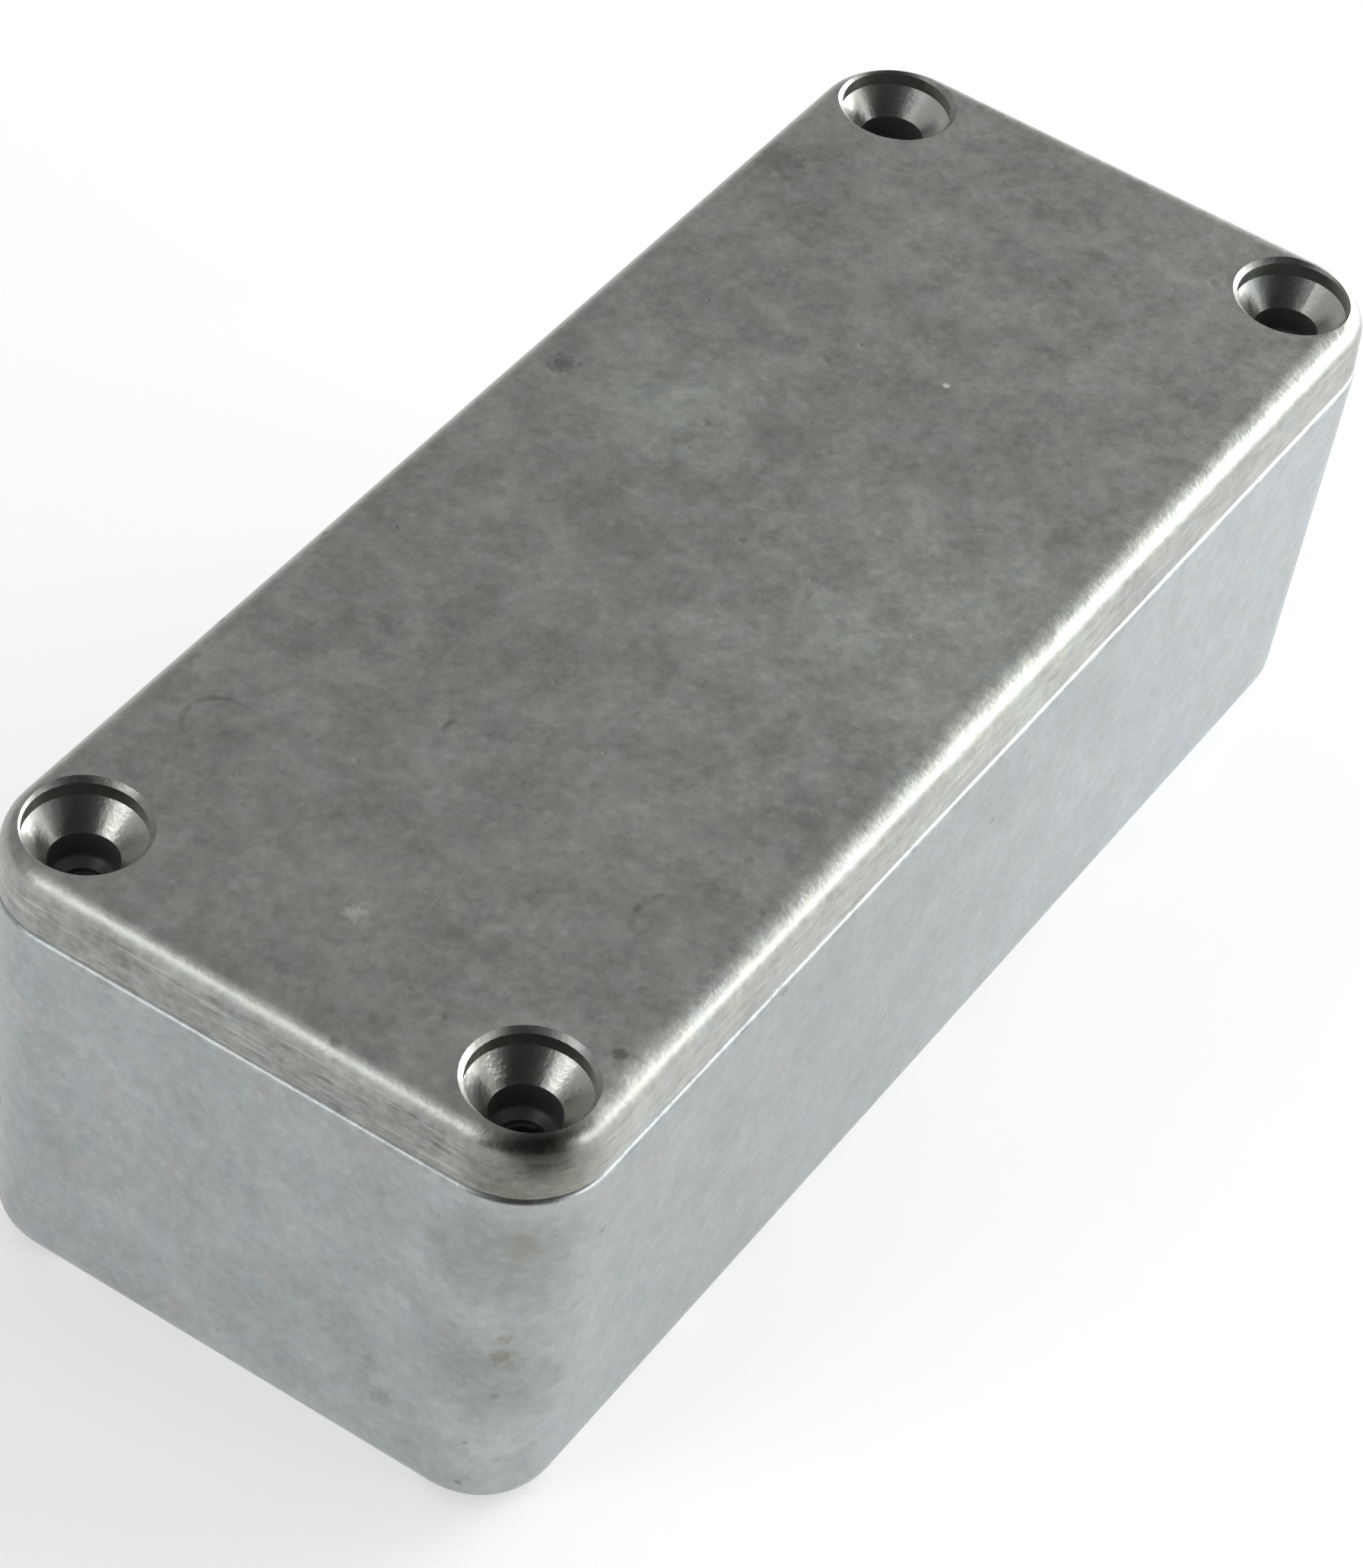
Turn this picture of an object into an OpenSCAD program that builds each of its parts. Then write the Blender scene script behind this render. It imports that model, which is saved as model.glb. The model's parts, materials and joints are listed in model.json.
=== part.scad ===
// Small die cast aluminium box: a drafted tub with a screwed lid that laps into it.
// The origin is at the middle of the underside. X runs along the box, Z points up.

/* [Box] */
// Overall length, measured at the seam between tub and lid
length = 92.6; // [70:0.1:160]
// Overall width, measured at the seam
width = 38.5; // [34:0.1:100]
// Overall height of the closed box
height = 31; // [24:0.25:60]
// Outer radius of the upright corners, measured at the seam
corner_r = 5.6; // [5.2:0.1:7.5]
// Draft angle of every cast face, in degrees
draft = 1.8; // [0.5:0.1:2.4]

/* [Tub] */
// Thickness of the side walls
wall = 2; // [1.7:0.1:2.4]
// Thickness of the floor
floor_t = 2; // [1.5:0.1:4]
// Radius of the outer edge round the underside
foot_edge_r = 2.4; // [1:0.1:3]
// Radius between the floor and the walls, inside
floor_fillet_r = 1.5; // [0.5:0.1:3]
// Radius of the tub's outer edge at the seam
rim_edge_r = 0.45; // [0.1:0.05:0.6]

/* [Lid] */
// Height of the lid's side, from the seam to the lid's top
lid_h = 4.25; // [3.75:0.05:6]
// Thickness of the lid's plate
lid_t = 2; // [1.5:0.1:2.5]
// Radius of the lid's top edge
lid_edge_r = 1.7; // [0.6:0.1:2.4]
// Radius between the plate and the lid's rim, inside
lid_fillet_r = 0.8; // [0.3:0.1:1]
// How far the lid's side stands in from the tub's side at the seam
lid_step = 0.1; // [0:0.05:0.3]
// Radius of the lid's outer edge at the seam
lid_seam_edge_r = 0.2; // [0.1:0.05:0.5]

/* [Lap joint] */
// How far the lid's lip reaches down into the tub
lip_h = 1.5; // [0.8:0.1:3]
// Thickness of the lip where it leaves the lid
lip_t = 0.9; // [0.6:0.05:1]
// Clearance between the lip and the tub
lip_clearance = 0.15; // [0.1:0.05:0.3]

/* [Screw posts] */
// Distance of each screw's axis from both side faces at the seam
screw_inset = 4.95; // [4.5:0.05:6.5]
// Radius of a post at the seam
post_r = 3.5; // [3:0.1:4.5]
// Radius of the cove between a post and the wall, at the seam
cove_r = 1.6; // [1.2:0.1:2.4]
// Radius of the tapped hole's bore
tap_r = 1.4; // [1.1:0.05:1.6]
// Depth of the tapped hole's straight bore
tap_depth = 12; // [6:0.5:18]
// Width of the bevel round the mouth of a tapped hole
tap_bevel = 0.45; // [0.2:0.05:0.7]

/* [Screw holes in the lid] */
// Radius of the clearance hole
screw_hole_r = 2; // [1.7:0.05:2.4]
// Radius of the recess for the screw's head
sink_r = 3.45; // [3:0.05:3.9]
// Depth of the recess's straight wall, with the bevel round its rim
sink_wall = 1.15; // [0.5:0.05:1.4]
// Angle between the sides of the countersink, in degrees
sink_angle = 90; // [80:1:100]
// Width of the bevel round the recess
sink_bevel = 0.3; // [0.05:0.05:0.4]

/* [Hidden] */
$fn = 96;
// Angle between the sides of a twist drill's point
drill_angle = 118;
// How far a cutting shape runs past the face that it opens
past = 1;
// An arc stands proud of the side that it blends into by this much, and is drawn on past it
// by this angle in degrees, so that the two cross cleanly
blend_proud = 0.0001;
blend_angle = 5;

// Height of the seam, and what one millimetre of height adds to a drafted face
seam_z = height - lid_h;
slope = tan(draft);
// Distances between the corner axes, and between the screw axes
span_x = length - 2 * corner_r;
span_y = width - 2 * corner_r;
screw_x = length / 2 - screw_inset;
screw_y = width / 2 - screw_inset;
// Depth at which the countersink has narrowed to the clearance hole
throat_depth = sink_wall + (sink_r - screw_hole_r) / tan(sink_angle / 2);
// Room that a post takes from its screw axis along the wall, with its cove
post_reach = post_r + cove_r;
// Where the cavity's wall stands at the seam, measured from the corner axis
cavity_x = corner_r - wall;

// Centre, at height z, of an arc of radius r that is tangent to a side. The side stands at
// side when z is seam_z and leans out by lean degrees as it rises.
function arc_centre(side, lean, r, z) = [side + (z - seam_z) * tan(lean) - r / cos(lean), z];
function on_circle(r, a) = [r * cos(a), r * sin(a)];

// Piece of a disc between two directions, less than half a turn apart
module sector(r, from, to) {
    intersection() {
        circle(r);
        polygon([[0, 0], on_circle(2 * r, from), on_circle(2 * r / cos((to - from) / 2),
                (from + to) / 2), on_circle(2 * r, to)]);
    }
}

// Half section of a drafted block from bottom to top, drawn outwards from a corner's axis.
// Its side stands at side when z is seam_z and leans out by lean degrees as it rises.
module half_section(bottom, top, side, lean, bottom_r = 0, top_r = 0) {
    low = arc_centre(side, lean, bottom_r, bottom + bottom_r);
    high = arc_centre(side, lean, top_r, top - top_r);
    polygon([
        [0, bottom], [low.x, bottom], low + on_circle(max(bottom_r - blend_proud, 0), -lean),
        high + on_circle(max(top_r - blend_proud, 0), -lean), [high.x, top], [0, top]
    ]);
    if (bottom_r > 0) translate(low) sector(bottom_r, -90, blend_angle - lean);
    if (top_r > 0) translate(high) sector(top_r, -blend_angle - lean, 90);
}

// Carries a half section, which spans from bottom to top at its axis, round the whole plan:
// straight along each side and by a quarter turn at each corner
module round_plan(bottom, top) {
    for (turn = [0, 180]) rotate(turn) {
        translate([span_x / 2, span_y / 2, 0]) rotate_extrude(angle = 90) children();
        translate([-span_x / 2, span_y / 2, 0]) rotate(90) rotate_extrude(angle = 90) children();
        translate([-span_x / 2, span_y / 2, 0]) rotate([90, 0, 90]) linear_extrude(span_x) children();
        translate([span_x / 2, span_y / 2, 0]) rotate([90, 0, 0]) linear_extrude(span_y) children();
    }
    translate([-span_x / 2, -span_y / 2, bottom]) cube([span_x, span_y, top - bottom]);
}

// Puts a copy at each screw axis, turned so that its +X and +Y point out of the box
module at_screws() {
    for (x = [-1, 1], y = [-1, 1])
        translate([x * screw_x, y * screw_y, 0]) mirror([x < 0 ? 1 : 0, 0, 0])
            mirror([0, y < 0 ? 1 : 0, 0]) children();
}

// Corner post between two heights. It widens away from the seam, fills the corner behind its
// axis, and runs into both walls over a cove that is drafted as they are.
module post(low_z, high_z) {
    tall = high_z - low_z;
    low_lean = abs(low_z - seam_z) * slope;
    high_lean = abs(high_z - seam_z) * slope;
    cove_x = screw_inset - wall - cove_r;
    module upright() {
        polygon([[0, low_z], [post_r + low_lean, low_z], [post_r + high_lean, high_z], [0, high_z]]);
    }
    module cove() {
        translate([cove_x, -post_reach, low_z]) difference() {
            cube([screw_inset - cove_x, post_reach, tall]);
            cylinder(h = tall, r1 = cove_r - low_lean + blend_proud,
                    r2 = cove_r - high_lean + blend_proud);
        }
    }
    rotate(180) rotate_extrude(angle = 90) upright();
    translate([screw_inset, 0, 0]) rotate([90, 0, -90]) linear_extrude(screw_inset) upright();
    rotate([90, 0, 180]) linear_extrude(screw_inset) upright();
    translate([0, 0, low_z]) cube([screw_inset, screw_inset, tall]);
    cove();
    mirror([1, -1, 0]) cove();
}

// Space inside the tub, with the step that takes the lid's lip
module tub_cavity() {
    step_z = seam_z - lip_h - lip_clearance;
    step_x = cavity_x + lip_t + lip_clearance;
    difference() {
        union() {
            round_plan(floor_t, seam_z + past)
                half_section(floor_t, seam_z + past, cavity_x, draft, floor_fillet_r);
            round_plan(step_z, seam_z + past)
                half_section(step_z, seam_z + past, step_x, draft);
        }
        at_screws() post(floor_t - past, seam_z);
    }
}

// Blind hole with a drill's point at its end and a bevel at its mouth
module tapped_hole() {
    point_h = tap_r / tan(drill_angle / 2);
    end_z = seam_z - tap_depth;
    rotate_extrude() polygon([
        [0, end_z - point_h], [tap_r, end_z], [tap_r, seam_z - tap_bevel],
        [tap_r + tap_bevel, seam_z], [tap_r + tap_bevel, seam_z + past], [0, seam_z + past]
    ]);
}

module box_body() {
    color("#a7abab") difference() {
        round_plan(0, seam_z)
            half_section(0, seam_z, corner_r, draft, foot_edge_r, rim_edge_r);
        tub_cavity();
        at_screws() tapped_hole();
    }
}

// Space inside the lid, between its rim and its posts and on down inside the lip
module lid_recess() {
    low_z = seam_z - lip_h - past;
    difference() {
        round_plan(low_z, height - lid_t)
            half_section(low_z, height - lid_t, cavity_x, -draft, 0, lid_fillet_r);
        at_screws() post(seam_z, height - lid_t + past);
    }
}

// Block that the lip is cut from. It runs along each side and stops short of the posts.
module lip_block() {
    low_z = seam_z - lip_h;
    gap = post_reach + lip_clearance;
    difference() {
        round_plan(low_z, seam_z) half_section(low_z, seam_z, cavity_x + lip_t, draft);
        at_screws() translate([-gap, -gap, low_z - past])
            cube([gap + screw_inset, gap + screw_inset, lip_h + 2 * past]);
    }
}

// Hole for a countersunk screw, from the lid's top down through its post
module screw_hole() {
    rotate_extrude() polygon([
        [0, seam_z - past], [screw_hole_r, seam_z - past], [screw_hole_r, height - throat_depth],
        [sink_r, height - sink_wall], [sink_r, height - sink_bevel],
        [sink_r + sink_bevel, height], [sink_r + sink_bevel, height + past], [0, height + past]
    ]);
}

module lid() {
    color("#9a9b96") difference() {
        union() {
            round_plan(seam_z, height)
                half_section(seam_z, height, corner_r - lid_step, -draft,
                        lid_seam_edge_r, lid_edge_r);
            lip_block();
        }
        lid_recess();
        at_screws() screw_hole();
    }
}

box_body();
lid();
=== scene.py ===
# %% [markdown]
# # A small die cast aluminium box
#
# The box is two castings: a drafted tub and a lid that laps into it and is held by four countersunk
# screws, which are left out here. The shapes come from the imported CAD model, so this lesson only
# dresses them: a camera, a floor and lamps, the dull finish of a tumbled casting, and the fine thread
# in the four posts, which is too small for the CAD source.
#
# Everything is in metres and stands in the frame of the CAD model: X runs along the box, Z is up, and
# the underside lies on Z = 0.

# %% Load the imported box
import json
import math

import bpy
from mathutils import Matrix, Vector


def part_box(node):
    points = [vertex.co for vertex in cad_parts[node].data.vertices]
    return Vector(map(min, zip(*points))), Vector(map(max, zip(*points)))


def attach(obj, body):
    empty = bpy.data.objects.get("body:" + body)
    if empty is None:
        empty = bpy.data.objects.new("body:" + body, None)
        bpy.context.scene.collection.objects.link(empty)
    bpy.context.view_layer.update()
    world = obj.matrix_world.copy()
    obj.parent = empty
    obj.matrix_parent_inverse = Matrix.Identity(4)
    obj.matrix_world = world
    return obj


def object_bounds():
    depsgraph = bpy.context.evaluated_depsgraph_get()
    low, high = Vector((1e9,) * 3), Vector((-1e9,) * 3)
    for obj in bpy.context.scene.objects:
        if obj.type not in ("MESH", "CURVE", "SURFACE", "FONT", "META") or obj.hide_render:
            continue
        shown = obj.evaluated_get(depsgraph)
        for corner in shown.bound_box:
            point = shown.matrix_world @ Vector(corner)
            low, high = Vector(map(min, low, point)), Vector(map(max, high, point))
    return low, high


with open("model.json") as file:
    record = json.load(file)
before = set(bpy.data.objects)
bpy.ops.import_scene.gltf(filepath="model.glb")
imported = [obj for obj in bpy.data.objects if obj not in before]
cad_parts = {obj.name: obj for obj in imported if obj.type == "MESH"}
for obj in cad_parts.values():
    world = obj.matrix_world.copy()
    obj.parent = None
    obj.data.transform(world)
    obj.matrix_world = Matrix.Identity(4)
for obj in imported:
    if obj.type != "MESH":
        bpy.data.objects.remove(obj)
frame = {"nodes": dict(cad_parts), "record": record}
cad_low, cad_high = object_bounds()
MM = 0.001
print("CAD box in mm:", [round(v / MM, 2) for v in (*cad_low, *cad_high)])

# %% [markdown]
# ## What the frame tells
#
# The seam between tub and lid, the places of the screws and the radii of their holes are facts of the
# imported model. They are read from its boxes and its mounts, and not typed again, so a change of size
# in the CAD source comes through to the finish.

# %% Read the seam and the screw holes
tub = frame["nodes"]["box_body"]
lid = frame["nodes"]["lid"]
tub_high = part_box("box_body")[1]
lid_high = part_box("lid")[1]
mounts = {mount["name"]: mount for mount in frame["record"]["mounts"]}
slots = {row["slot"]: row for row in frame["record"]["materials"]}


def hole_facts(name):
    """Half the spacing of a hole pattern along X and Y, and the radius of its holes, in metres."""
    sizes = mounts[name]["dims"]
    return (
        sizes["spacing_x_mm"] * MM / 2,
        sizes["spacing_y_mm"] * MM / 2,
        sizes["hole_r_mm"] * MM,
    )


seam_z = tub_high.z
top_z = lid_high.z
screw_x, screw_y, tap_r = hole_facts("tapped_post_holes")
print("seam and top in mm:", round(seam_z / MM, 2), round(top_z / MM, 2))
print("screws in mm:", round(screw_x / MM, 2), round(screw_y / MM, 2), "from the middle")

# %% [markdown]
# ## Camera
#
# So small a thing is best seen from near by through a long lens, so that its edges stay almost
# parallel. The camera could be placed by three coordinates and three angles, but an aim point, a
# distance and the angles round it say better how one sets it up: stand off one corner, look down,
# and tilt the camera a little.

# %% Place the camera
AIM_OFFSET = Vector((-1.93, -0.2, -2.37)) * MM
CAMERA_DISTANCE = 0.3181
CAMERA_AZIMUTH = math.radians(206.87)
CAMERA_ELEVATION = math.radians(44.14)
CAMERA_ROLL = math.radians(9.09)
CAMERA_LENS = 123.9
CAMERA_CLIP = 10 * MM


def direction(azimuth, elevation):
    """The unit vector that points that way, with the azimuth counted from +X towards +Y."""
    return Vector(
        (
            math.cos(elevation) * math.cos(azimuth),
            math.cos(elevation) * math.sin(azimuth),
            math.sin(elevation),
        )
    )


def look_from(aim, azimuth, elevation, distance, roll=0.0):
    """A matrix for a camera or a lamp that looks at aim from that side."""
    outward = direction(azimuth, elevation)
    turn = outward.to_track_quat("Z", "Y").to_matrix() @ Matrix.Rotation(roll, 3, "Z")
    return Matrix.Translation(aim + outward * distance) @ turn.to_4x4()


aim = (cad_low + cad_high) / 2 + AIM_OFFSET
camera_data = bpy.data.cameras.new("camera")
camera_data.lens = CAMERA_LENS
camera_data.clip_start = CAMERA_CLIP
camera = bpy.data.objects.new("camera", camera_data)
camera.matrix_world = look_from(aim, CAMERA_AZIMUTH, CAMERA_ELEVATION, CAMERA_DISTANCE, CAMERA_ROLL)
bpy.context.scene.collection.objects.link(camera)
bpy.context.scene.camera = camera
print("camera at", [round(v, 4) for v in camera.matrix_world.translation])

# %% [markdown]
# ## Helpers for nodes
#
# A material is a small tree of nodes. A few helpers keep the trees readable: they add a node and fill
# its sockets, by value or by a link from another node, and they start a node group with named inputs
# and outputs. A group is built once and then placed in every material that needs it.

# %% Node helpers
def fill(tree, node, inputs):
    """Fills a node's sockets: a value is written in, and another node's output is linked."""
    for name, value in inputs.items():
        if isinstance(value, bpy.types.NodeSocket):
            tree.links.new(value, node.inputs[name])
        else:
            node.inputs[name].default_value = value


def add(tree, kind, inputs=None, **settings):
    """Adds a node of that kind to a tree, with its settings, and fills its sockets."""
    node = tree.nodes.new(kind)
    for name, value in settings.items():
        setattr(node, name, value)
    fill(tree, node, inputs or {})
    return node


def calc(tree, operation, first, second=0.0, third=0.0, clamp=False):
    """The output of a Math node. clamp keeps it from 0 to 1."""
    node = add(
        tree,
        "ShaderNodeMath",
        {0: first, 1: second, 2: third},
        operation=operation,
        use_clamp=clamp,
    )
    return node.outputs[0]


def ramp(tree, value, start, end, low=0.0, high=1.0):
    """value mapped from start..end to low..high, with soft ends."""
    return add(
        tree,
        "ShaderNodeMapRange",
        {"Value": value, "From Min": start, "From Max": end, "To Min": low, "To Max": high},
        interpolation_type="SMOOTHSTEP",
    ).outputs["Result"]


def blend_colours(tree, factor, first, second, kind="MIX"):
    """The colour output of a Mix node, by its socket numbers: 0 factor, 6 and 7 the colours."""
    node = add(
        tree,
        "ShaderNodeMix",
        {0: factor, 6: first, 7: second},
        data_type="RGBA",
        blend_type=kind,
    )
    return node.outputs[2]


def mix_values(tree, factor, first, second):
    """first where factor is 0, second where it is 1."""
    return add(tree, "ShaderNodeMix", {0: factor, 2: first, 3: second}).outputs[0]


def start_group(name, inputs, outputs):
    """An empty shader node group and its end nodes. An input given as None is a vector."""
    group = bpy.data.node_groups.new(name, "ShaderNodeTree")
    for label, value in inputs.items():
        kind = "NodeSocketVector" if value is None else "NodeSocketFloat"
        socket = group.interface.new_socket(label, in_out="INPUT", socket_type=kind)
        if value is not None:
            socket.default_value = value
    for label in outputs:
        group.interface.new_socket(label, in_out="OUTPUT", socket_type="NodeSocketFloat")
    return group, group.nodes.new("NodeGroupInput"), group.nodes.new("NodeGroupOutput")


def place(tree, group, inputs):
    """Puts a group into a tree and returns its outputs."""
    return add(tree, "ShaderNodeGroup", inputs, node_tree=group).outputs


print("node helpers ready")

# %% [markdown]
# ## Floor
#
# The box stands on a plain white table. The floor is a large pale sheet that takes the box's shadow.
# A little light of its own is added for rays that come from the camera or from a reflection, so the
# sheet reads as white, also in the metal, and no more light falls on the box for it.

# %% Floor
FLOOR_HALF = 2.0
FLOOR_ALBEDO = 0.8
FLOOR_GLOW = 0.5
FLOOR_DROP = 0.02 * MM

floor_mesh = bpy.data.meshes.new("floor")
ways = ((-1, -1), (1, -1), (1, 1), (-1, 1))
corners = [(x * FLOOR_HALF, y * FLOOR_HALF, -FLOOR_DROP) for x, y in ways]
floor_mesh.from_pydata(corners, [], [(0, 1, 2, 3)])
floor = bpy.data.objects.new("floor", floor_mesh)
bpy.context.scene.collection.objects.link(floor)

floor_paint = bpy.data.materials.new("floor_paint")
floor_paint.use_nodes = True
tree = floor_paint.node_tree
tree.nodes.clear()
paths = add(tree, "ShaderNodeLightPath").outputs
seen = calc(tree, "ADD", paths["Is Camera Ray"], paths["Is Glossy Ray"])
seen = calc(tree, "ADD", seen, paths["Is Transmission Ray"], clamp=True)
paint = add(tree, "ShaderNodeBsdfDiffuse", {"Color": (FLOOR_ALBEDO, FLOOR_ALBEDO, FLOOR_ALBEDO, 1)})
glow = add(tree, "ShaderNodeEmission", {"Strength": calc(tree, "MULTIPLY", seen, FLOOR_GLOW)})
both = add(tree, "ShaderNodeAddShader", {0: paint.outputs[0], 1: glow.outputs[0]})
add(tree, "ShaderNodeOutputMaterial", {"Surface": both.outputs[0]})
floor_mesh.materials.append(floor_paint)
print("floor", 2 * FLOOR_HALF, "m square")

# %% [markdown]
# ## Room and lamps
#
# Dull metal shows no sharp reflection of the room, but it does show which side is bright. The room is
# dark behind the camera and pale beyond the box, and the lid's flat top mirrors that pale side. One
# could light the box with a single big lamp, but each rounded edge mirrors a whole sweep of the room
# and would show the lamp as one band. So three lamps beside the long side and three beside the short
# side share the sweeps, and one more, the brightest, stands low beyond the far end. Together they
# draw the bright lines on the lid's edges.

# %% Room
ROOM_DARK = 0.02
ROOM_BRIGHT = 0.42
ROOM_FADE = 0.6  # cosine of the angle from the bright side at which it is fully bright
BRIGHT_SIDE = direction(math.radians(55), math.radians(35))

world = bpy.data.worlds.new("room")
world.use_nodes = True
bpy.context.scene.world = world
tree = world.node_tree
tree.nodes.clear()
ray = add(tree, "ShaderNodeTexCoord").outputs["Generated"]
toward = add(tree, "ShaderNodeVectorMath", {0: ray, 1: BRIGHT_SIDE}, operation="DOT_PRODUCT")
shine = ramp(tree, toward.outputs["Value"], 0.0, ROOM_FADE, ROOM_DARK, ROOM_BRIGHT)
glow = add(tree, "ShaderNodeBackground", {"Color": (1, 1, 1, 1), "Strength": shine})
add(tree, "ShaderNodeOutputWorld", {"Surface": glow.outputs[0]})
bpy.context.scene.view_settings.view_transform = "Standard"
print("room from", ROOM_DARK, "behind the camera to", ROOM_BRIGHT, "behind the box")

# %% Lamps
LAMPS = {
    # name: azimuth and elevation in degrees, width and height in metres, brightness
    "far_lamp": (-15, 13, 0.60, 0.34, 11.5),
    "side_low_lamp": (-48, 10, 0.32, 0.28, 4.9),
    "side_high_lamp": (-48, 32, 0.36, 0.32, 1.1),
    "side_wide_lamp": (-80, 14, 0.40, 0.34, 4.2),
    "front_low_lamp": (155, 9, 0.40, 0.20, 1.5),
    "front_lamp": (155, 24, 0.40, 0.26, 3.3),
    "front_high_lamp": (155, 43, 0.40, 0.30, 0.7),
}
LAMP_DISTANCE = 0.9


def add_lamp(name, azimuth, elevation, width, height, brightness):
    """A rectangular lamp that faces the box. brightness is what it looks like head on: 1 is white."""
    data = bpy.data.lights.new(name, "AREA")
    data.shape = "RECTANGLE"
    data.size = width
    data.size_y = height
    data.energy = brightness * math.pi * width * height
    lamp = bpy.data.objects.new(name, data)
    lamp.matrix_world = look_from(aim, math.radians(azimuth), math.radians(elevation), LAMP_DISTANCE)
    lamp.visible_camera = False
    bpy.context.scene.collection.objects.link(lamp)


for name, facts in LAMPS.items():
    add_lamp(name, *facts)
print("lamps:", ", ".join(LAMPS))

# %% [markdown]
# ## The finish of a tumbled casting
#
# Molten aluminium freezes against a steel die and leaves a skin with cloudy patches. The castings are
# then tumbled with small stones, which takes off the burrs and gives the skin a fine, dull grain with
# tiny dark pits. Each effect is a node group that puts out a mask, so both castings can share it with
# their own strengths.

# %% Cloudy patches
CLOUD_FINENESS = 0.9  # how strong the small patches are beside the large ones
CLOUD_CONTRAST = 3.0


def make_clouds():
    """Patches of every size from Size downwards, all about as strong. Value varies round 0.5."""
    group, entry, end = start_group("clouds", {"Vector": None, "Size": 0.005, "Detail": 4.5}, ["Value"])
    noise = add(
        group,
        "ShaderNodeTexNoise",
        {
            "Vector": entry.outputs["Vector"],
            "Scale": calc(group, "DIVIDE", 1.0, entry.outputs["Size"]),
            "Detail": entry.outputs["Detail"],
            "Roughness": CLOUD_FINENESS,
        },
    )
    centred = calc(group, "SUBTRACT", noise.outputs[0], 0.5)
    value = calc(group, "MULTIPLY_ADD", centred, CLOUD_CONTRAST, 0.5)
    group.links.new(value, end.inputs["Value"])
    return group


clouds = make_clouds()
print("group", clouds.name)

# %% Fine grain
FACET_SHARE = 0.6
FINE_SHARE = 0.4
FINE_SCALE = 1.6  # how much finer than the facets


def make_grain():
    """The grain that tumbling leaves: small facets of random tone, broken up by finer noise."""
    group, entry, end = start_group("grain", {"Vector": None, "Size": 0.0004}, ["Value", "Height"])
    scale = calc(group, "DIVIDE", 1.0, entry.outputs["Size"])
    cells = add(
        group,
        "ShaderNodeTexVoronoi",
        {"Vector": entry.outputs["Vector"], "Scale": scale, "Randomness": 1.0},
        feature="SMOOTH_F1",
    )
    tone = add(group, "ShaderNodeSeparateColor", {0: cells.outputs["Color"]}).outputs[0]
    fine = add(
        group,
        "ShaderNodeTexNoise",
        {
            "Vector": entry.outputs["Vector"],
            "Scale": calc(group, "MULTIPLY", scale, FINE_SCALE),
            "Detail": 3.0,
        },
    ).outputs[0]
    value = calc(group, "MULTIPLY_ADD", tone, FACET_SHARE, calc(group, "MULTIPLY", fine, FINE_SHARE))
    group.links.new(value, end.inputs["Value"])
    group.links.new(fine, end.inputs["Height"])
    return group


grain = make_grain()
print("group", grain.name)

# %% Scattered specks
SPECK_CORE = 0.5  # full strength up to this share of the radius
SPECK_EDGE = 1.4  # and gone at this one
LEAST_RADIUS = 0.0001  # keeps a division from dividing by zero


def make_specks():
    """Small specks, one at most in each cell. Share is how many of the cells hold one."""
    group, entry, end = start_group(
        "specks", {"Vector": None, "Spacing": 0.003, "Radius": 0.0002, "Share": 0.3}, ["Mask"]
    )
    scale = calc(group, "DIVIDE", 1.0, entry.outputs["Spacing"])
    cells = add(
        group,
        "ShaderNodeTexVoronoi",
        {"Vector": entry.outputs["Vector"], "Scale": scale, "Randomness": 1.0},
        feature="F1",
    )
    lots = add(group, "ShaderNodeSeparateColor", {0: cells.outputs["Color"]})
    kept = calc(group, "LESS_THAN", lots.outputs[0], entry.outputs["Share"])
    radius = calc(group, "MULTIPLY", entry.outputs["Radius"], scale)
    radius = calc(group, "MULTIPLY", radius, lots.outputs[1])
    edge = calc(group, "DIVIDE", cells.outputs["Distance"], calc(group, "MAXIMUM", radius, LEAST_RADIUS))
    spot = ramp(group, edge, SPECK_CORE, SPECK_EDGE, 1.0, 0.0)
    group.links.new(calc(group, "MULTIPLY", spot, kept), end.inputs["Mask"])
    return group


specks = make_specks()
print("group", specks.name)

# %% Streaks
STREAK_FROM = 0.50  # noise above this begins to be a scratch
STREAK_FULL = 0.72


def make_streaks():
    """Fine scratches that run level round the sides. Mask is 1 in the middle of a scratch."""
    group, entry, end = start_group(
        "streaks", {"Vector": None, "Length": 0.004, "Width": 0.00025}, ["Mask"]
    )
    along = calc(group, "DIVIDE", 1.0, entry.outputs["Length"])
    across = calc(group, "DIVIDE", 1.0, entry.outputs["Width"])
    scales = add(group, "ShaderNodeCombineXYZ", {0: along, 1: along, 2: across}).outputs[0]
    stretched = add(
        group,
        "ShaderNodeVectorMath",
        {0: entry.outputs["Vector"], 1: scales},
        operation="MULTIPLY",
    ).outputs[0]
    noise = add(group, "ShaderNodeTexNoise", {"Vector": stretched, "Scale": 1.0, "Detail": 2.0}).outputs[0]
    group.links.new(ramp(group, noise, STREAK_FROM, STREAK_FULL), end.inputs["Mask"])
    return group


streaks = make_streaks()
print("group", streaks.name)

# %% Patch round a point
PATCH_CORE = 0.3  # full strength up to this share of the radius
RAGGED_DETAIL = 2.2  # blots of the ragged edge across one radius
RAGGED_REACH = 4.0


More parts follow.
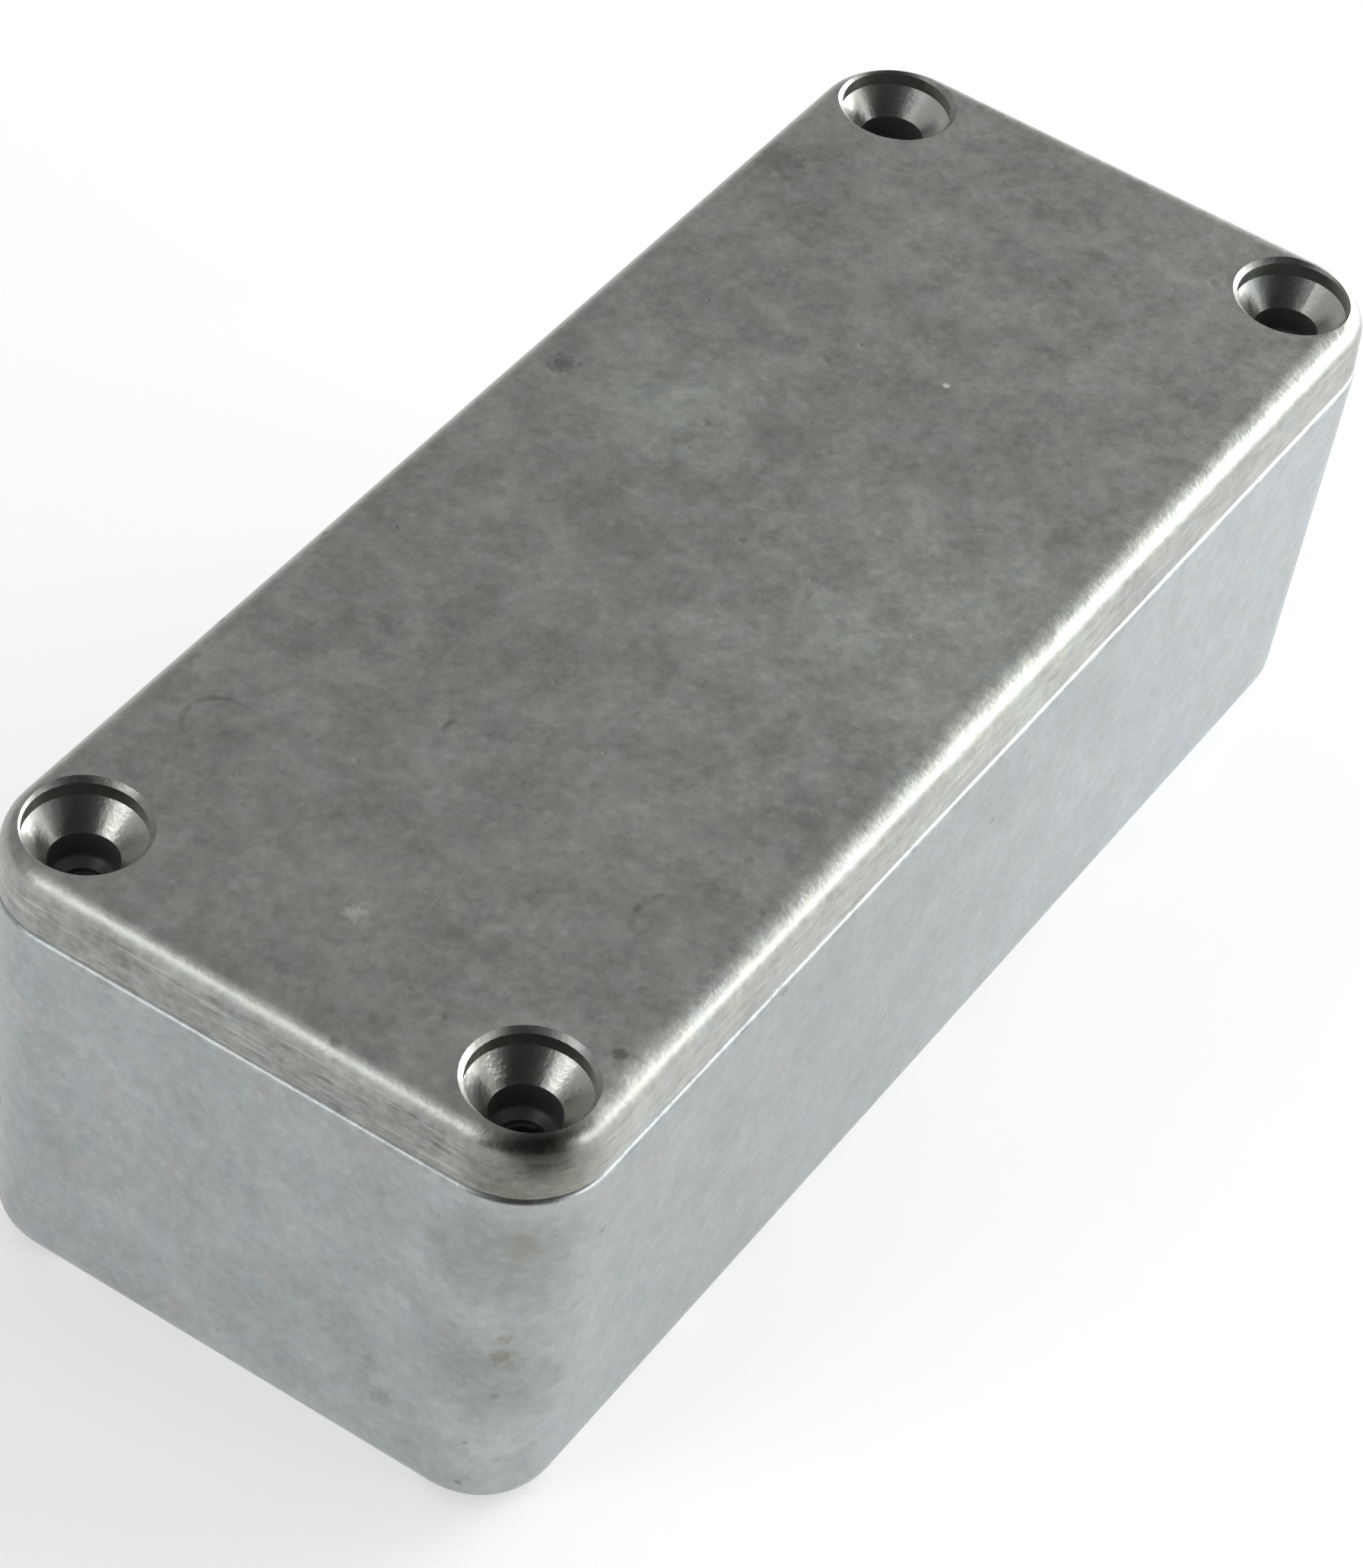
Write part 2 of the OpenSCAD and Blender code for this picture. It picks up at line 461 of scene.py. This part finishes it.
def make_patch():
    """A stain, a knock or painted light: 1 round the point X, Y, Z and fading out towards Radius, with a
    ragged edge.
    """
    group, entry, end = start_group(
        "patch",
        {"Vector": None, "X": 0.0, "Y": 0.0, "Z": 0.0, "Radius": 0.001, "Ragged": 0.5},
        ["Mask"],
    )
    centre = add(group, "ShaderNodeCombineXYZ", {k: entry.outputs[k] for k in "XYZ"}).outputs[0]
    away = add(
        group,
        "ShaderNodeVectorMath",
        {0: entry.outputs["Vector"], 1: centre},
        operation="DISTANCE",
    )
    part = calc(group, "DIVIDE", away.outputs["Value"], entry.outputs["Radius"])
    noise = add(
        group,
        "ShaderNodeTexNoise",
        {
            "Vector": entry.outputs["Vector"],
            "Scale": calc(group, "DIVIDE", RAGGED_DETAIL, entry.outputs["Radius"]),
            "Detail": 4.0,
            "Roughness": 0.7,
        },
    ).outputs[0]
    shift = calc(group, "MULTIPLY", calc(group, "SUBTRACT", noise, 0.5), entry.outputs["Ragged"])
    part = calc(group, "MULTIPLY_ADD", shift, RAGGED_REACH, part)
    group.links.new(ramp(group, part, PATCH_CORE, 1.0, 1.0, 0.0), end.inputs["Mask"])
    return group


patch = make_patch()
print("group", patch.name)

# %% Curved scratch
ARC_CORE = 0.2  # full strength up to this share of the width
ARC_BREAKS = 1600.0  # breaks in the line per metre
BREAK_FROM = 0.35
BREAK_TO = 0.6


def make_arc():
    """A curved scratch on the lid's top: a piece of a ring round X, Y that lies towards Heading."""
    group, entry, end = start_group(
        "arc",
        {
            "Vector": None,
            "X": 0.0,
            "Y": 0.0,
            "Radius": 0.003,
            "Width": 0.0002,
            "Heading": 0.0,
            "Spread": 0.8,
        },
        ["Mask"],
    )
    spot = add(group, "ShaderNodeSeparateXYZ", {0: entry.outputs["Vector"]}).outputs
    x = calc(group, "SUBTRACT", spot["X"], entry.outputs["X"])
    y = calc(group, "SUBTRACT", spot["Y"], entry.outputs["Y"])
    reach = calc(group, "SQRT", calc(group, "MULTIPLY_ADD", x, x, calc(group, "MULTIPLY", y, y)))
    off = calc(group, "ABSOLUTE", calc(group, "SUBTRACT", reach, entry.outputs["Radius"]))
    line = ramp(group, calc(group, "DIVIDE", off, entry.outputs["Width"]), ARC_CORE, 1.0, 1.0, 0.0)
    ahead = calc(group, "MULTIPLY", x, calc(group, "COSINE", entry.outputs["Heading"]))
    ahead = calc(group, "MULTIPLY_ADD", y, calc(group, "SINE", entry.outputs["Heading"]), ahead)
    ahead = calc(group, "DIVIDE", ahead, calc(group, "MAXIMUM", reach, LEAST_RADIUS))
    window = ramp(group, ahead, entry.outputs["Spread"], 1.0)
    noise = add(group, "ShaderNodeTexNoise", {"Vector": entry.outputs["Vector"], "Scale": ARC_BREAKS})
    breaks = ramp(group, noise.outputs[0], BREAK_FROM, BREAK_TO)
    mask = calc(group, "MULTIPLY", calc(group, "MULTIPLY", line, window), breaks)
    group.links.new(mask, end.inputs["Mask"])
    return group


arc = make_arc()
print("group", arc.name)

# %% [markdown]
# ## Machined holes
#
# The screw holes are drilled and countersunk after casting, so their walls are bare metal with fine
# turning marks, and their depths are given a painted shade. Their faces could get a material slot of
# their own, but the CAD gives each casting one slot, so a mask finds them by place instead. One mask
# serves all four, since the box is the same on both sides of its middle planes. The radius of the
# recess's rim is measured on the lid: it is where the flat top ends round the screw's axis.

# %% Measure the rim and make the mask
TOP_MARGIN = 0.02 * MM
RIM_BEVEL = 0.3 * MM
# Depth less distance from the screw's axis grows all the way down a hole. It is 0.6 mm at the foot
# of the cone, so between these two values the bare cone turns into the dark hole below it.
FOOT_FROM = 0.58 * MM
FOOT_TO = 0.68 * MM
RING_SCALE = 9000.0  # turning marks per metre
rim_r = min(
    math.hypot(abs(spot.x) - screw_x, abs(spot.y) - screw_y)
    for spot in (lid.matrix_world @ vertex.co for vertex in lid.data.vertices)
    if spot.z > top_z - TOP_MARGIN
)


def make_seats():
    """Machined is 1 on the walls of the screw holes, Deep is 1 below the cone, Rings are its marks."""
    group, entry, end = start_group("seats", {"Vector": None}, ["Machined", "Deep", "Rings"])
    spot = add(group, "ShaderNodeSeparateXYZ", {0: entry.outputs["Vector"]}).outputs
    x = calc(group, "SUBTRACT", calc(group, "ABSOLUTE", spot["X"]), screw_x)
    y = calc(group, "SUBTRACT", calc(group, "ABSOLUTE", spot["Y"]), screw_y)
    reach = calc(group, "SQRT", calc(group, "MULTIPLY_ADD", x, x, calc(group, "MULTIPLY", y, y)))
    below = calc(group, "SUBTRACT", top_z, spot["Z"])
    edge = calc(group, "SUBTRACT", rim_r + TOP_MARGIN, calc(group, "MINIMUM", below, RIM_BEVEL))
    inside = calc(group, "LESS_THAN", reach, edge)
    machined = calc(group, "MULTIPLY", inside, calc(group, "GREATER_THAN", below, RIM_BEVEL))
    depth = ramp(group, calc(group, "MULTIPLY_ADD", reach, -1.0, below), FOOT_FROM, FOOT_TO)
    rings = add(
        group,
        "ShaderNodeTexNoise",
        {"W": calc(group, "ADD", below, reach), "Scale": RING_SCALE, "Detail": 1.0},
        noise_dimensions="1D",
    ).outputs[0]
    group.links.new(machined, end.inputs["Machined"])
    group.links.new(calc(group, "MULTIPLY", machined, depth), end.inputs["Deep"])
    group.links.new(rings, end.inputs["Rings"])
    return group


seats = make_seats()
print("rim of the screw recess:", round(rim_r / MM, 2), "mm in radius")

# %% [markdown]
# ## The two castings
#
# Both castings share one skin: cloudy patches, grain, dark pits and pale flecks change its tone, and
# some of them its roughness and height. The lid adds streaks along its sides, a painted light that
# makes its long sides brighter than its ends, a few handling marks on its top, a painted light on the
# top towards its long side, a painted reflection of the dark room on the rounded edge at the near
# corner, and a darker side at that corner. The tub adds a painted shade down the same corner with small
# stains in it, a painted light that grows towards the far end of its long side, and dark dashes in a
# band just under the seam. A painted texture would be quicker to make, but it would have to be made
# again for each size of box, and these nodes follow the box. The single marks and painted patches
# stand in tables, where they are easy to move.

# %% The shared skin
METAL_TONE = 0.72  # share of the slot's base colour that plain skin keeps
ROUGHNESS = 0.36
GRAIN_SIZE = 0.45 * MM
PITS = {"Spacing": 2.4 * MM, "Radius": 0.38 * MM, "Share": 0.3}
FLECKS = {"Spacing": 3.7 * MM, "Radius": 0.3 * MM, "Share": 0.2}
PIT_TONE = -0.22
PIT_ROUGHNESS = 0.12
PIT_HEIGHT = -1.5
FLECK_TONE = 0.16
CLOUD_ROUGHNESS = 0.10  # what a cloudy patch adds to the roughness
BUMP_STRENGTH = 0.5
BUMP_HEIGHT = 0.03 * MM
HUES = {"Size": 3 * MM, "Detail": 3.0}  # clouds of cool and warm colour
WHITE = (1.0, 1.0, 1.0, 1.0)
COOL = (0.97, 1.0, 1.02, 1.0)
WARM = (1.02, 1.0, 0.97, 1.0)


def start_finish(name):
    """An empty material, its tree, and the position in the frame of the box."""
    material = bpy.data.materials.new(name)
    material.use_nodes = True
    tree = material.node_tree
    tree.nodes.clear()
    return material, tree, add(tree, "ShaderNodeTexCoord").outputs["Object"]


def skin(tree, here, cloud_tone, grain_tone):
    """Tone, roughness and height of the plain cast skin."""
    patches = place(tree, clouds, {"Vector": here})["Value"]
    grit = place(tree, grain, {"Vector": here, "Size": GRAIN_SIZE})
    pits = place(tree, specks, {"Vector": here, **PITS})["Mask"]
    flecks = place(tree, specks, {"Vector": here, **FLECKS})["Mask"]
    tone = calc(tree, "MULTIPLY_ADD", calc(tree, "SUBTRACT", patches, 0.5), cloud_tone, 1.0)
    tone = calc(tree, "MULTIPLY_ADD", calc(tree, "SUBTRACT", grit["Value"], 0.5), grain_tone, tone)
    tone = calc(tree, "MULTIPLY_ADD", pits, PIT_TONE, tone)
    tone = calc(tree, "MULTIPLY_ADD", flecks, FLECK_TONE, tone)
    rough = calc(tree, "MULTIPLY_ADD", calc(tree, "SUBTRACT", patches, 0.5), CLOUD_ROUGHNESS, ROUGHNESS)
    rough = calc(tree, "MULTIPLY_ADD", pits, PIT_ROUGHNESS, rough)
    height = calc(tree, "MULTIPLY_ADD", pits, PIT_HEIGHT, grit["Height"])
    return tone, rough, height


def end_finish(tree, slot, here, tint, tone, rough, height, bare):
    """Closes a material: the slot's base colour times tint and tone. bare is 1 where metal shows."""
    base = [METAL_TONE * value for value in slots[slot]["base_color"]]
    grey = add(tree, "ShaderNodeCombineColor", {0: tone, 1: tone, 2: tone}).outputs[0]
    colour = blend_colours(tree, 1.0, grey, (*base, 1), "MULTIPLY")
    colour = blend_colours(tree, 1.0, colour, tint, "MULTIPLY")
    hue = place(tree, clouds, {"Vector": here, **HUES})["Value"]
    colour = blend_colours(tree, 1.0, colour, blend_colours(tree, hue, COOL, WARM), "MULTIPLY")
    relief = {"Strength": BUMP_STRENGTH, "Distance": BUMP_HEIGHT, "Height": height}
    bump = add(tree, "ShaderNodeBump", relief)
    surface = add(
        tree,
        "ShaderNodeBsdfPrincipled",
        {"Base Color": colour, "Metallic": bare, "Roughness": rough, "Normal": bump.outputs[0]},
    )
    add(tree, "ShaderNodeOutputMaterial", {"Surface": surface.outputs[0]})


def add_patches(tree, here, tint, rows):
    """Multiplies a tint by the colour of each patch in a table."""
    for x, y, z, radius, ragged, colour in rows:
        spot = {
            "Vector": here,
            "X": x * MM,
            "Y": y * MM,
            "Z": z * MM,
            "Radius": radius * MM,
            "Ragged": ragged,
        }
        layer = blend_colours(tree, place(tree, patch, spot)["Mask"], WHITE, (*colour, 1))
        tint = blend_colours(tree, 1.0, tint, layer, "MULTIPLY")
    return tint


def wear(node, material):
    """Gives a CAD node that material in each of its slots."""
    for slot in node.material_slots:
        slot.material = material


print("shared skin ready")

# %% Bare metal in the screw holes
BARE_TONE = 1.18
BARE_ROUGHNESS = 0.28
RING_TONE = 0.6
# painted shade in the depths of the holes
DEPTH_SHADE_TONE = 0.42
DEPTH_DULLING = 0.8  # share of the metal made non-metallic in the depths, so their painted shade reads grey


def machine(tree, here, tone, rough):
    """Lays the machined walls over a skin's tone and roughness, with a painted shade in their depths, and
    gives how bare the metal is.
    """
    seat = place(tree, seats, {"Vector": here})
    ring_tone = calc(tree, "MULTIPLY_ADD", seat["Rings"], RING_TONE, BARE_TONE)
    # painted shade: below the cone the tone falls to a dark value
    shade = mix_values(tree, seat["Deep"], ring_tone, DEPTH_SHADE_TONE)
    tone = mix_values(tree, seat["Machined"], tone, shade)
    rough = mix_values(tree, seat["Machined"], rough, BARE_ROUGHNESS)
    # the depths are made partly non-metallic, which lightens their painted shade
    bare = calc(tree, "MULTIPLY_ADD", seat["Deep"], -DEPTH_DULLING, 1.0)
    return tone, rough, bare


print("machined walls ready")

# %% The lid's finish
LID_TINT = (0.98, 1.0, 0.975, 1.0)
LID_CLOUDS = 0.38
LID_GRAIN = 0.28
SIDE_UPRIGHT = 0.15  # a face whose normal rises less than this is a side
SIDE_LEVEL = 0.5  # and one whose normal rises more than this is not
BRIGHT_STREAKS = 0.26
DARK_STREAKS = {"Length": 1.7 * MM, "Width": 0.45 * MM}
DARK_STREAK_TONE = -0.20
# painted light: the lid's long sides are made lighter and its ends darker by this much
PAINTED_SIDE_LIGHT_TONE = 0.17
TOP = top_z / MM
# The first row darkens the lid's side at the near corner. The second is a painted reflection of the dark
# room on the rounded edge there. The last is a painted light on the top towards its long side. The others
# are marks and blotches of the metal.
LID_MARKS_AND_PAINTED_LIGHT = (
    # x, y, z and radius in mm, ragged edge, colour
    (-45.0, -17.6, 28.0, 5.2, 0.10, (0.52, 0.51, 0.47)),
    (-44.6, -17.5, 30.1, 2.5, 0.05, (0.38, 0.38, 0.37)),
    (6.5, 16.2, TOP, 1.1, 0.60, (0.60, 0.60, 0.60)),
    (-37.0, -16.9, TOP, 0.6, 0.30, (0.50, 0.50, 0.50)),
    (31.6, 17.2, TOP, 2.2, 0.70, (0.75, 0.75, 0.75)),
    (19.9, -2.3, TOP, 0.3, 0.00, (2.20, 2.20, 2.10)),
    (-37.5, -0.5, TOP, 0.8, 0.90, (1.40, 1.40, 1.36)),
    (6.6, 7.6, TOP, 8.0, 0.50, (1.10, 1.12, 1.10)),
    (0.0, -13.0, TOP, 14.0, 0.50, (1.16, 1.17, 1.15)),
)
LID_ARCS = (
    # x, y, radius and width in mm, heading in degrees, spread, strength
    (-27.6, -14.0, 2.2, 0.35, 85, 0.30, -0.35),
    (-30.7, 13.5, 2.0, 0.30, 60, -0.20, -0.30),
    (-22.8, 0.9, 3.0, 0.30, 90, 0.96, -0.35),
    (-18.0, 6.6, 4.0, 0.28, 95, 0.97, -0.30),
    (12.0, 3.0, 9.0, 0.22, 200, 0.94, 0.12),
    (-8.0, -6.0, 7.0, 0.22, 20, 0.93, 0.12),
)


def streak_sides(tree, here, tone):
    """Lays streaks over the lid's upright sides. A painted light makes the long sides brighter than the
    ends.
    """
    normal = add(tree, "ShaderNodeNewGeometry").outputs["Normal"]
    facing = add(tree, "ShaderNodeSeparateXYZ", {0: normal}).outputs
    rise = calc(tree, "ABSOLUTE", facing["Z"])
    side = ramp(tree, rise, SIDE_UPRIGHT, SIDE_LEVEL, 1.0, 0.0)
    bright = place(tree, streaks, {"Vector": here})["Mask"]
    dark = place(tree, streaks, {"Vector": here, **DARK_STREAKS})["Mask"]
    tone = calc(tree, "MULTIPLY_ADD", calc(tree, "MULTIPLY", side, bright), BRIGHT_STREAKS, tone)
    tone = calc(tree, "MULTIPLY_ADD", calc(tree, "MULTIPLY", side, dark), DARK_STREAK_TONE, tone)
    # painted light: lighter on the long sides, darker on the ends
    long_side = calc(tree, "ABSOLUTE", facing["Y"])
    short_side = calc(tree, "ABSOLUTE", facing["X"])
    painted_side_light = calc(tree, "MULTIPLY", side, calc(tree, "SUBTRACT", long_side, short_side))
    return calc(tree, "MULTIPLY_ADD", painted_side_light, PAINTED_SIDE_LIGHT_TONE, tone)


def finish_lid():
    """The lid's metal."""
    material, tree, here = start_finish("cast_lid_finish")
    tone, rough, height = skin(tree, here, LID_CLOUDS, LID_GRAIN)
    tone = streak_sides(tree, here, tone)
    for x, y, radius, width, heading, spread, strength in LID_ARCS:
        shape = {
            "Vector": here,
            "X": x * MM,
            "Y": y * MM,
            "Radius": radius * MM,
            "Width": width * MM,
            "Heading": math.radians(heading),
            "Spread": spread,
        }
        tone = calc(tree, "MULTIPLY_ADD", place(tree, arc, shape)["Mask"], strength, tone)
    tone, rough, bare = machine(tree, here, tone, rough)
    tint = add_patches(tree, here, LID_TINT, LID_MARKS_AND_PAINTED_LIGHT)
    end_finish(tree, "cast_lid", here, tint, tone, rough, height, bare)
    return material


lid_finish = finish_lid()
wear(lid, lid_finish)
print("lid wears", lid_finish.name)

# %% The tub's finish
TUB_TINT = (0.975, 1.0, 1.01, 1.0)
TUB_CLOUDS = 0.29
TUB_GRAIN = 0.22
RIM_BAND = 0.6 * MM
RIM_STREAKS = {"Length": 1.2 * MM, "Width": 2.0 * MM}
RIM_DASH_TONE = -0.2
# The first row is a painted light that grows towards the far end of the long side. The next two are a
# painted shade down the near corner. The others are stains and marks.
TUB_MARKS_AND_PAINTED_LIGHT = (
    # x, y, z and radius in mm, ragged edge, colour
    (46.0, -18.0, 14.0, 62.0, 0.00, (1.16, 1.17, 1.19)),
    (-45.2, -16.6, 22.0, 6.0, 0.20, (0.78, 0.775, 0.74)),
    (-45.0, -16.8, 12.0, 6.0, 0.20, (0.80, 0.795, 0.76)),
    (-44.8, -16.8, 13.8, 0.9, 0.50, (0.72, 0.70, 0.62)),
    (-45.0, -16.9, 15.3, 0.6, 0.50, (0.78, 0.76, 0.70)),
    (-44.9, -17.2, 23.1, 1.6, 0.50, (0.92, 0.88, 0.84)),
    (-45.3, -10.2, 6.2, 1.0, 0.60, (0.82, 0.82, 0.82)),
    (-45.4, -9.4, 8.4, 1.0, 0.60, (0.84, 0.84, 0.84)),
    (-12.7, -18.0, 14.6, 0.8, 0.80, (1.22, 1.22, 1.22)),
    (-10.4, -18.0, 13.7, 0.6, 0.80, (1.22, 1.22, 1.22)),
)


def finish_tub():
    """The tub's metal."""
    material, tree, here = start_finish("cast_tub_finish")
    tone, rough, height = skin(tree, here, TUB_CLOUDS, TUB_GRAIN)
    level = add(tree, "ShaderNodeSeparateXYZ", {0: here}).outputs["Z"]
    # darker dashes in a band just under the seam
    rim = ramp(tree, level, seam_z - RIM_BAND, seam_z - RIM_BAND / 2)
    rim_dashes = place(tree, streaks, {"Vector": here, **RIM_STREAKS})["Mask"]
    tone = calc(tree, "MULTIPLY_ADD", calc(tree, "MULTIPLY", rim, rim_dashes), RIM_DASH_TONE, tone)
    tone, rough, bare = machine(tree, here, tone, rough)
    tint = add_patches(tree, here, TUB_TINT, TUB_MARKS_AND_PAINTED_LIGHT)
    end_finish(tree, "cast_tub", here, tint, tone, rough, height, bare)
    return material


tub_finish = finish_tub()
wear(tub, tub_finish)
print("tub wears", tub_finish.name)

# %% [markdown]
# ## Thread in the posts
#
# Each post has a tapped hole. A tap cuts a helical groove and leaves a ridge that winds round the
# bore. The ridge could be a bump in a material, but the hole is open to view with the lid off, so it
# is made as geometry: a small four-sided section swept along a helix, closed at both ends.

# %% Thread ridges
PITCH = 0.794 * MM
THREAD_DEPTH = 11.2 * MM
TAP_BEVEL = 0.45 * MM
RIDGE_STEPS = 40  # sections in one turn
# Corners of the ridge's section: out from the wall of the hole in mm, and along it in pitches.
RIDGE_SECTION = ((0.05, -0.36), (-0.09, -0.08), (-0.09, 0.08), (0.05, 0.36))


def thread_ridge(name, centre_x, centre_y, start_z):
    """One closed ridge that winds down a tapped hole from start_z."""
    corners = len(RIDGE_SECTION)
    rings = int(THREAD_DEPTH / PITCH * RIDGE_STEPS)
    points = []
    for ring in range(rings + 1):
        angle = 2 * math.pi * ring / RIDGE_STEPS
        z = start_z - PITCH * ring / RIDGE_STEPS
        for out, along in RIDGE_SECTION:
            radius = tap_r + out * MM
            x = centre_x + radius * math.cos(angle)
            y = centre_y + radius * math.sin(angle)
            points.append((x, y, z + along * PITCH))
    last = rings * corners
    faces = [tuple(range(corners)), tuple(last + corner for corner in reversed(range(corners)))]
    for ring in range(rings):
        for corner in range(corners):
            near = ring * corners + corner
            beside = ring * corners + (corner + 1) % corners
            faces.append((near, near + corners, beside + corners, beside))
    mesh = bpy.data.meshes.new(name)
    mesh.from_pydata(points, [], faces)
    piece = bpy.data.objects.new(name, mesh)
    bpy.context.scene.collection.objects.link(piece)
    mesh.materials.append(tub_finish)
    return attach(piece, "root")


thread_top = seam_z - TAP_BEVEL - PITCH / 2
for side_x in (-1, 1):
    for side_y in (-1, 1):
        label = ("left" if side_x < 0 else "right") + "_" + ("front" if side_y < 0 else "back")
        thread_ridge("thread_" + label, side_x * screw_x, side_y * screw_y, thread_top)
print("threads:", round(THREAD_DEPTH / PITCH, 1), "turns each")
